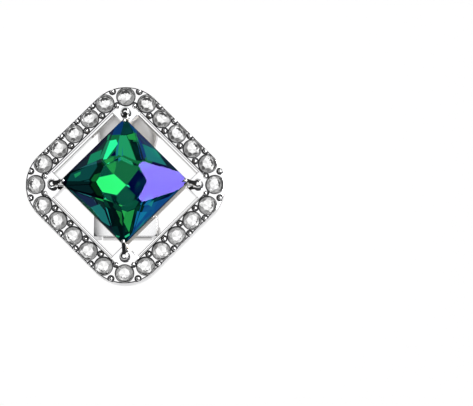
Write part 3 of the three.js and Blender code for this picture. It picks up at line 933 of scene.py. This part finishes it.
def lay_painted_reflection(stone, facet, outline):
    """Splits the pavilion along upright planes through an outline, and numbers the part inside."""
    low = [min(corner[axis] for corner in outline) for axis in range(2)]
    high = [max(corner[axis] for corner in outline) for axis in range(2)]
    middle = sum(outline, Vector((0, 0))) / len(outline)
    inside = [
        face for face in stone.faces if face.normal.z < FACES_DOWN and overlaps(face, low, high)
    ]
    for start, end in zip(outline, outline[1:] + outline[:1]):
        side = (end - start).normalized()
        outward = Vector((side.y, -side.x))
        if outward.dot(start - middle) < 0:
            outward.negate()
        edges = dict.fromkeys(edge for face in inside for edge in face.edges)
        verts = dict.fromkeys(vert for face in inside for vert in face.verts)
        cut = bmesh.ops.bisect_plane(
            stone, geom=[*inside, *edges, *verts], dist=WELD,
            plane_co=start.to_3d(), plane_no=outward.to_3d(),
        )
        parts = [item for item in cut["geom"] if isinstance(item, bmesh.types.BMFace)]
        inside = [face for face in parts if outward.dot(face.calc_center_median().xy - start) < 0]
    for face in inside:
        face[stone.faces.layers.int["facet"]] = facet


def center_stone():
    """The stone in three finishes: table, crown with its walls, and the pavilion's foil with painted glow."""
    table, crown, pavilion = range(3)
    stone = stone_shape()
    colours = row_colours([row[-1] for row in PAVILION_ROWS])
    for number, (colour, outline) in enumerate(PAINTED_REFLECTIONS, PAINTED_REFLECTION_NUMBERS):
        lay_painted_reflection(stone, number, [Vector(corner) for corner in outline])
        colours[number] = colour
    for quarter, facets in enumerate(CROWN_PAINTED_CLEARNESS):
        for step, clearness in enumerate(facets):
            colours[crown_number(quarter, step)] = glass_grey(clearness)
    paint_facets(stone, colours, NIGHT)
    for face in stone.faces:
        lean = face.normal.z
        face.material_index = pavilion if lean < FACES_DOWN else table if lean > FACES_UP else crown
    return stone


# Painted shade of a halo crystal, by where its facets face: right, upper right, up and so on.
# The first four are for the crystals on the upper right, upper left, lower left and lower right.
CRYSTAL_PAINTED_SHADES = (
    (0.09, 0.50, 0.42, 0.22, 0.06, 0.03, 0.07, 0.60),
    (0.30, 0.22, 0.50, 0.55, 0.26, 0.20, 0.07, 0.10),
    (0.16, 0.34, 0.20, 0.12, 0.45, 0.50, 0.22, 0.14),
    (0.22, 0.34, 0.34, 0.14, 0.42, 0.20, 0.22, 0.60),
)
CORNER_PAINTED_SHADES = (0.16, 0.16, 0.30, 0.18, 0.40, 0.34, 0.28, 0.22)
CRYSTAL_VARIETY = (1.0, 0.65, 1.25, 0.85, 1.1, 0.7, 1.35)
# How brightly the foil facets of a crystal's pavilion glow: painted light
CRYSTAL_PAINTED_GLOW = (0.95, 0.80, 0.95, 0.70, 0.95, 0.85, 0.65, 0.95)

# Rows of a halo crystal's facets. The third and fourth, on its crown, show the painted shades.
EIGHTHS = [45 * step for step in range(8)]
BETWEEN_EIGHTHS = [azimuth + 22.5 for azimuth in EIGHTHS]
RIM_AZIMUTHS = [15 * step + 7.5 for step in range(24)]
RIM_SLOPE = math.degrees(math.atan2(CRYSTAL_EDGE_DROP, CRYSTAL_EDGE_WIDTH))
RIM_START = CRYSTAL_GIRDLE_TOP - CRYSTAL_EDGE_DROP
CRYSTAL_ROWS = (
    # azimuths, slope, reach, height, facing
    (EIGHTHS, 38.0, 0.0, 0.0, -1),
    (BETWEEN_EIGHTHS, 46.0, CRYSTAL_RADIUS, CRYSTAL_GIRDLE, -1),
    (EIGHTHS, 50.0, CRYSTAL_RADIUS - CRYSTAL_EDGE_WIDTH, CRYSTAL_GIRDLE_TOP, 1),
    (BETWEEN_EIGHTHS, 32.0, CRYSTAL_TABLE_REACH, CRYSTAL_TABLE, 1),
    (RIM_AZIMUTHS, RIM_SLOPE, CRYSTAL_RADIUS, RIM_START, 1),
)
# Painted shade in a crystal's crown glass
CRYSTAL_PAINTED_CLEARNESS = (
    # row, least clearness, how much of the shade it adds
    (3, 0.06, 1.6), (4, 0.6, 0.5),
)
# Painted shade on the crystal's rim, whose glass is tinted dark
RIM_PAINTED_SHADE = 0.3


def crystal_painted_shades(place):
    """The painted shades for a crystal, from its place on the upright front."""
    if min(abs(place.x), abs(place.y)) < CRYSTAL_PITCH / 2:
        return CORNER_PAINTED_SHADES
    if place.y > 0:
        return CRYSTAL_PAINTED_SHADES[0 if place.x > 0 else 1]
    return CRYSTAL_PAINTED_SHADES[3 if place.x > 0 else 2]


def halo_crystal(order, shades):
    """A round crystal of glass and glowing foil, turned by its order in the halo, with painted shade."""
    stone = bmesh.new()
    bmesh.ops.create_cone(
        stone, cap_ends=True, segments=24, radius1=CRYSTAL_RADIUS, radius2=CRYSTAL_RADIUS,
        depth=CRYSTAL_TABLE, matrix=Matrix.Translation((0, 0, CRYSTAL_TABLE / 2)),
    )
    stone.faces.layers.int.new("facet")
    for row, cut in enumerate(CRYSTAL_ROWS, 1):
        grind_row(stone, row, *cut)
    bmesh.ops.recalc_face_normals(stone, faces=stone.faces)
    colours = row_colours([[(shine, shine, shine) for shine in CRYSTAL_PAINTED_GLOW]] * 2)
    turn = CRYSTAL_TURN * order
    # Painted shade: each crown facet's glass is tinted by where the facet faces
    for row, least, gain in CRYSTAL_PAINTED_CLEARNESS:
        for step, azimuth in enumerate(CRYSTAL_ROWS[row - 1][0]):
            variety = CRYSTAL_VARIETY[(3 * order + step) % len(CRYSTAL_VARIETY)]
            shade = shades[round((azimuth + turn) / 45) % len(shades)] * variety
            colours[row_number(row, step)] = glass_grey(min(least + gain * shade, 1))
    for step in range(len(RIM_AZIMUTHS)):
        colours[row_number(len(CRYSTAL_ROWS), step)] = glass_grey(RIM_PAINTED_SHADE)
    paint_facets(stone, colours, WHITE)
    for face in stone.faces:
        face.material_index = 1 if face.normal.z < FACES_DOWN else 0
    return moved(stone, Matrix.Rotation(math.radians(turn), 4, "Z"))


def add_stones():
    place = HALO @ Matrix.Translation((0, 0, STONE_POINT_HEIGHT))
    glass = (STONE_TABLE_GLASS, STONE_CROWN_SHADED_GLASS, STONE_GLOWING_FOIL)
    finished(
        "princess_stone", center_stone(), place, glass, "front", ["center_stone"],
        SMOOTH_FACET,
    )
    for order, node in enumerate(CRYSTAL_NODES):
        point = point_of(node)
        shades = crystal_painted_shades(FRONT.inverted() @ point)
        finished(
            "halo_" + node, halo_crystal(order, shades), face_matrix(point),
            (CRYSTAL_SHADED_GLASS, CRYSTAL_GLOWING_FOIL), "front", [node], SMOOTH_FACET,
        )


# -- Halo


def crystal_places():
    """Where the crystals sit, in order round the halo from the middle of the +x side."""
    side = [Vector((CRYSTAL_LINE, step * CRYSTAL_PITCH, 0)) for step in range(-2, 3)]
    side.append(Vector((CORNER_CRYSTAL, CORNER_CRYSTAL, 0)))
    turns = [Matrix.Rotation(quarter * math.pi / 2, 3, "Z") for quarter in range(4)]
    return [turn @ place for turn in turns for place in side]


def grain_places():
    """Two beads for each pair of neighbouring crystals, at the ends of the bar between them."""
    places = []
    crystals = crystal_places()
    for here, there in zip(crystals, crystals[1:] + crystals[:1]):
        middle = (here + there) / 2
        along = (there - here).normalized()
        outward = Vector((along.y, -along.x, 0))
        reach = (GRAIN_OFFSET, GRAIN_OFFSET)
        if max(abs(along.x), abs(along.y)) < STRAIGHT:
            reach = (CORNER_GRAIN_OUTWARD, CORNER_GRAIN_INWARD)
        places += (middle + outward * reach[0], middle - outward * reach[1])
    return places


def pocket():
    """The space for one crystal, with a small chamfer round its rim."""
    top = HALO_DEPTH + POCKET_CHAMFER
    return turned(
        [
            (0, POCKET_BOTTOM),
            (POCKET_CONE_RADIUS, POCKET_FLOOR),
            (POCKET_RADIUS, POCKET_FLOOR),
            (POCKET_RADIUS, HALO_DEPTH - POCKET_CHAMFER),
            (POCKET_RADIUS + 2 * POCKET_CHAMFER, top),
            (0, top),
        ],
        steps=32,
    )


def pocket_places():
    return [place * (1 - POCKET_INWARD / CRYSTAL_LINE) for place in crystal_places()]


def seat(radius, floor, top):
    """The round hollow under a bead or a ball."""
    return turned([(0, floor), (radius, floor), (radius, top), (0, top)], steps=24)


def grain_seat():
    return seat(SEAT_RADIUS, HALO_DEPTH - SEAT_DEPTH, HALO_DEPTH + SLOPE_HEIGHT)


def opening(half, low, high, flare=0.0):
    """The space in a square opening, whose top may be wider than its foot."""
    space = rounded_block(half, OPENING_CORNER_RADIUS, low, high, segments=6)
    for vert in space.verts:
        if vert.co.z > (low + high) / 2:
            vert.co.xy *= (half + flare) / half
    return space


def halo_band():
    band = rounded_block(HALO_HALF, HALO_CORNER_RADIUS, 0, HALO_DEPTH, segments=24)
    soften(band, [edge for edge in band.edges if not upright(edge)], HALO_EDGE, 2)
    top = HALO_DEPTH + SLOPE_HEIGHT
    step_half = OPENING_HALF + LIP_WIDTH
    cuts = (
        opening(LEDGE_HALF, UNDER_HALO, top),
        opening(OPENING_HALF, UNDER_HALO, LEDGE_BOTTOM),
        opening(OPENING_HALF, LEDGE_HEIGHT, top),
        opening(LEDGE_HALF, LEDGE_HEIGHT - LIP_EDGE_HEIGHT, LEDGE_HEIGHT, LIP_EDGE_WIDTH),
        opening(OPENING_HALF, LIP_HEIGHT - LIP_EDGE_HEIGHT, LIP_HEIGHT, LIP_EDGE_WIDTH),
        opening(step_half, LIP_HEIGHT, top),
        opening(step_half, HALO_DEPTH - SLOPE_HEIGHT, top, 2 * SLOPE_WIDTH),
        copies(pocket, pocket_places()),
        copies(grain_seat, grain_places()),
    )
    for cut in cuts:
        band = with_tool(band, cut, "DIFFERENCE")
    # Painted shade: pocket and bead-seat walls, and the lip's slope by the opening, take the dark metal
    paint_shade(band, pocket_places(), POCKET_RADIUS + POCKET_CHAMFER, HALO_DEPTH - HAIR)
    paint_shade(band, grain_places(), SEAT_RADIUS + HAIR, HALO_DEPTH - HAIR)
    for face in band.faces:
        middle = face.calc_center_median()
        near = max(abs(middle.x), abs(middle.y)) < step_half + 2 * SLOPE_WIDTH
        if middle.z > LIP_HEIGHT and near and SLOPE_STEEPEST < face.normal.z < SLOPE_FLATTEST:
            face.material_index = PAINTED_SHADE_INDEX
    return band


def grain_beads():
    beads = bmesh.new()
    for place in grain_places():
        bmesh.ops.create_uvsphere(
            beads, u_segments=14, v_segments=8, radius=GRAIN_RADIUS,
            matrix=Matrix.Translation(place + Vector((0, 0, GRAIN_HEIGHT))),
        )
    return beads


# -- Corner bridges, prongs, claws and cup


def bridge():
    """The plate across one corner, cut away round the corner's crystal and under the ball."""
    half = (OPENING_HALF + BRIDGE_OVERLAP - BRIDGE_INNER) / 2
    plate = block(half, half, BRIDGE_LOW, BRIDGE_TOP)
    moved(plate, Matrix.Translation((BRIDGE_INNER + half, BRIDGE_INNER + half, 0)))
    soften(plate, plate.edges[:], BRIDGE_EDGE, 2)
    crystal = next(place for place in pocket_places() if min(place.x, place.y) > OPENING_HALF)
    plate = with_tool(plate, copies(pocket, [crystal]), "DIFFERENCE")
    ball = Vector((PRONG_CENTRE, PRONG_CENTRE, 0))
    hollow = seat(BALL_SEAT_RADIUS, BRIDGE_TOP - BALL_SEAT_DEPTH, HALO_DEPTH)
    plate = with_tool(plate, moved(hollow, Matrix.Translation(ball)), "DIFFERENCE")
    # Painted shade round the crystal's pocket and in the ball's seat
    paint_shade(plate, [crystal], POCKET_RADIUS + POCKET_CHAMFER, BRIDGE_TOP - HAIR)
    paint_shade(plate, [ball], BALL_SEAT_RADIUS + HAIR, BRIDGE_TOP - HAIR)
    return plate


def strut():
    length = (BRIDGE_INNER + STRUT_OVERLAP) * math.sqrt(2) - STRUT_START
    bar = block(length / 2, STRUT_WIDTH / 2, CUP_BOTTOM, BRIDGE_TOP)
    soften(bar, bar.edges[:], STRUT_EDGE, 2)
    moved(bar, Matrix.Translation((STRUT_START + length / 2, 0, 0)))
    return moved(bar, STAND_ON_CORNER)


def prong():
    """A post with a ball on top, the ball flattened where it was pressed."""
    angles = [math.radians(degrees) for degrees in BALL_ROUND_DEGREES]
    ball = [(math.cos(angle), math.sin(angle)) for angle in angles] + BALL_PRESSED_TOP
    profile = [
        (0, PRONG_FOOT),
        (PRONG_RADIUS, PRONG_FOOT),
        (PRONG_RADIUS, BRIDGE_TOP),
        (PRONG_NECK_RADIUS, PRONG_NECK_HEIGHT),
        *((BALL_RADIUS * out, BALL_HEIGHT + BALL_RADIUS * up) for out, up in ball),
    ]
    return moved(turned(profile, steps=28), Matrix.Translation((PRONG_CENTRE, PRONG_CENTRE, 0)))


def swept(rings, sides=14):
    """A closed skin over oval rings, each given by its centre, lean about Y and two half sizes."""
    bm = bmesh.new()
    loops = []
    for centre, lean, thickness, width in rings:
        turn = Matrix.Rotation(math.radians(lean), 4, "Y")
        size = Matrix.Diagonal((thickness, width, 1, 1))
        made = bmesh.ops.create_circle(
            bm, cap_ends=False, segments=sides, radius=1,
            matrix=Matrix.Translation(centre) @ turn @ size,
        )
        ring = set(made["verts"])
        loops.append([edge for edge in bm.edges if ring.issuperset(edge.verts)])
    for lower, upper in zip(loops, loops[1:]):
        bmesh.ops.bridge_loops(bm, edges=lower + upper)
    bmesh.ops.holes_fill(bm, edges=loops[0] + loops[-1], sides=0)
    bmesh.ops.recalc_face_normals(bm, faces=bm.faces)
    return bm


def claw():
    """A finger along the diagonal, from the prong's ball up and over the stone's corner."""
    finger = swept(
        [(Vector((out, 0, up)), lean, thin, wide) for out, up, lean, thin, wide in CLAW_RINGS]
    )
    # Painted shade on the tip that lies over the stone
    for face in finger.faces:
        if face.calc_center_median().x > CLAW_TIP:
            face.material_index = PAINTED_SHADE_INDEX
    return moved(finger, STAND_ON_CORNER)


def stone_cup():
    """A wall of four leaning sides round the stone, which sits in it with a small gap."""
    wall = bmesh.new()
    middle = Matrix.Translation((0, 0, (CUP_RIM + CUP_BOTTOM) / 2))
    bmesh.ops.create_cone(
        wall, cap_ends=True, segments=4, radius1=CUP_BOTTOM_HALF * math.sqrt(2),
        radius2=CUP_TOP_HALF * math.sqrt(2), depth=CUP_RIM - CUP_BOTTOM,
        matrix=middle @ STAND_ON_CORNER,
    )
    soften(wall, upright_edges(wall), CUP_CORNER_RADIUS, 3)
    place = Matrix.Translation((0, 0, STONE_POINT_HEIGHT - STONE_GAP))
    space = moved(stone_shape(), place @ Matrix.Scale(1 + STONE_GAP / STONE_HALF, 4))
    return with_tool(wall, space, "DIFFERENCE")


def paint_cup_wall_shade():
    """Paints shade on the cup's wall: dark under the stone and light at its foot, greys between."""
    tree = CUP_SHADED_METAL.node_tree
    link = tree.links.new
    up = face_normal()
    foot, rim = (up.dot(FRONT @ Vector((0, 0, level))) for level in (CUP_BOTTOM, CUP_RIM))
    place = add_node(tree, "ShaderNodeTexCoord")
    height = add_node(tree, "ShaderNodeVectorMath", {1: up}, "DOT_PRODUCT")
    link(place.outputs["Object"], height.inputs[0])
    scale = add_node(tree, "ShaderNodeMapRange", {"From Min": foot, "From Max": rim})
    link(height.outputs["Value"], scale.inputs["Value"])
    tone = add_ramp(tree, CUP_PAINTED_SHADE)
    link(scale.outputs["Result"], tone.inputs["Fac"])
    link(tone.outputs["Color"], shader_of(CUP_SHADED_METAL).inputs["Base Color"])


def add_metal_front():
    shapes = (
        ("halo_band", halo_band(), SILVER, SMOOTH_BAND),
        ("grain_beads", grain_beads(), SILVER, SMOOTH_CURVE),
        ("corner_bridges", four_corners(bridge), SILVER, SMOOTH_BRIDGE),
        ("bridge_struts", four_corners(strut), SILVER, SMOOTH_CURVE),
        ("prongs", four_corners(prong), SILVER, SMOOTH_CURVE),
        ("claws", four_corners(claw), SILVER, SMOOTH_CURVE),
        ("stone_cup", stone_cup(), CUP_SHADED_METAL, SMOOTH_CURVE),
    )
    for name, shape, metal, smooth in shapes:
        # Each piece's second material is the dark metal of painted shade
        metals = (metal, PAINTED_SHADE_METAL)
        finished(name, shape, HALO, metals, "front", ["setting_frame"], smooth)


# -- Clip


def ear(side):
    """One ear, from its root on the plate to its round end, with the hole for the pin."""
    x = side * (BRACKET_HALF_WIDTH - EAR_THICKNESS / 2)
    half_length = (EAR_ROOT_END - BRACKET_LOWER + HINGE_Y) / 2
    root = block(EAR_THICKNESS / 2, half_length, CUP_BOTTOM - EAR_SHOULDER, CUP_BOTTOM)
    moved(root, Matrix.Translation((x, (BRACKET_LOWER + HINGE_Y + EAR_ROOT_END) / 2, 0)))
    end = rod_along_x(EAR_RADIUS, EAR_THICKNESS, (x, HINGE_Y, HINGE_Z), sides=48)
    shape = hull_of(gathered([root, end]))
    soften(shape, end_edges(shape), EAR_EDGE, 2)
    hole = rod_along_x(PIN_HOLE_RADIUS, PIN_HOLE_LENGTH, (x, HINGE_Y, HINGE_Z))
    return with_tool(shape, hole, "DIFFERENCE")


def clip_bracket():
    top = CUP_BOTTOM + BRACKET_OVERLAP
    half_length = (BRACKET_UPPER - BRACKET_LOWER) / 2
    plate = block(BRACKET_HALF_WIDTH, half_length, top - BRACKET_THICKNESS, top)
    moved(plate, Matrix.Translation((0, (BRACKET_UPPER + BRACKET_LOWER) / 2, 0)))
    low = BRACKET_LOWER + HAIR
    lower_end = [edge for edge in plate.edges if all(vert.co.y < low for vert in edge.verts)]
    soften(plate, lower_end, BRACKET_EDGE, 2)
    soften(plate, sharp_edges(plate), BRACKET_EDGE, 2)
    return gathered([plate, ear(1), ear(-1)])


def hinge_pin():
    """The pin's shaft and a domed head on each end."""
    axis = Vector((0, HINGE_Y, HINGE_Z))
    parts = [rod_along_x(PIN_RADIUS, 2 * BRACKET_HALF_WIDTH + PIN_SPARE, axis)]
    for side in (1, -1):
        end = axis + Vector((side * (BRACKET_HALF_WIDTH + PIN_HEAD_GAP), 0, 0))
        outward = Matrix.Rotation(side * math.pi / 2, 4, "Y")
        parts.append(moved(turned(PIN_HEAD, steps=32), Matrix.Translation(end) @ outward))
    return gathered(parts)


def arm():
    """The paddle's flat arm, narrower in the middle, with its edges rolled over."""
    strip = bmesh.new()
    bmesh.ops.create_grid(strip, x_segments=2, y_segments=16, size=1)
    for vert in strip.verts:
        along = (vert.co.y + 1) / 2
        root = ARM_ROOT_FLARE * (1 - along) ** ARM_ROOT_CURVE
        end = ARM_PAD_FLARE * max(0, along - ARM_PAD_START) ** ARM_PAD_CURVE
        vert.co = Vector((vert.co.x * (ARM_WAIST + root + end), ARM_LENGTH * along, 0))
    made = bmesh.ops.extrude_face_region(strip, geom=strip.faces[:])
    top = [item for item in made["geom"] if isinstance(item, bmesh.types.BMVert)]
    bmesh.ops.translate(strip, vec=(0, 0, PADDLE_THICKNESS), verts=top)
    bmesh.ops.recalc_face_normals(strip, faces=strip.faces)
    soften(strip, sharp_edges(strip), ARM_EDGE, 3)
    return strip


def pad():
    """The round pad, with a rounded edge and a shallow dish in its face."""
    reach = PAD_RADIUS - PAD_RIM
    profile = [(0, 0)] + [(PAD_RADIUS - inward, height) for inward, height in PAD_EDGE]
    for out in PAD_DISH_RINGS:
        depth = PAD_DISH * (1.0 - PAD_DISH_CURVE * out * out)
        profile.append((reach * out, PAD_THICKNESS - depth))
    return moved(turned(profile, steps=64), Matrix.Translation((0, PAD_FROM_HINGE, 0)))


def clip_paddle():
    """Arm, pad and barrel in one, with the bore for the pin."""
    length = 2 * (BRACKET_HALF_WIDTH - EAR_THICKNESS - BARREL_GAP)
    place = (0, 0, BARREL_RADIUS)
    barrel = rod_along_x(BARREL_RADIUS, length, place, sides=48, rim=BARREL_EDGE)
    bore = rod_along_x(PIN_HOLE_RADIUS, length + BORE_SPARE, place)
    whole = with_tool(with_tool(arm(), pad(), "UNION"), barrel, "UNION")
    return with_tool(whole, bore, "DIFFERENCE")


def add_clip():
    shapes = (
        ("bracket_plate", clip_bracket(), FRONT, SATIN, "front", "setting_frame", "silver_plate"),
        ("pin_with_heads", hinge_pin(), FRONT, CLIP_METAL, "front", "hinge_pin", "clip_metal"),
        ("sprung_paddle", clip_paddle(), PADDLE, CLIP_METAL, "paddle", "clip_paddle", "clip_metal"),
    )
    for name, shape, place, metal, body, node, slot in shapes:
        finished(name, shape, place, (metal,), body, [node])


SCENE.view_settings.view_transform = "Standard"
add_camera()
add_floor()
add_strip_light()
add_world()
paint_cup_wall_shade()
add_metal_front()
add_stones()
add_clip()
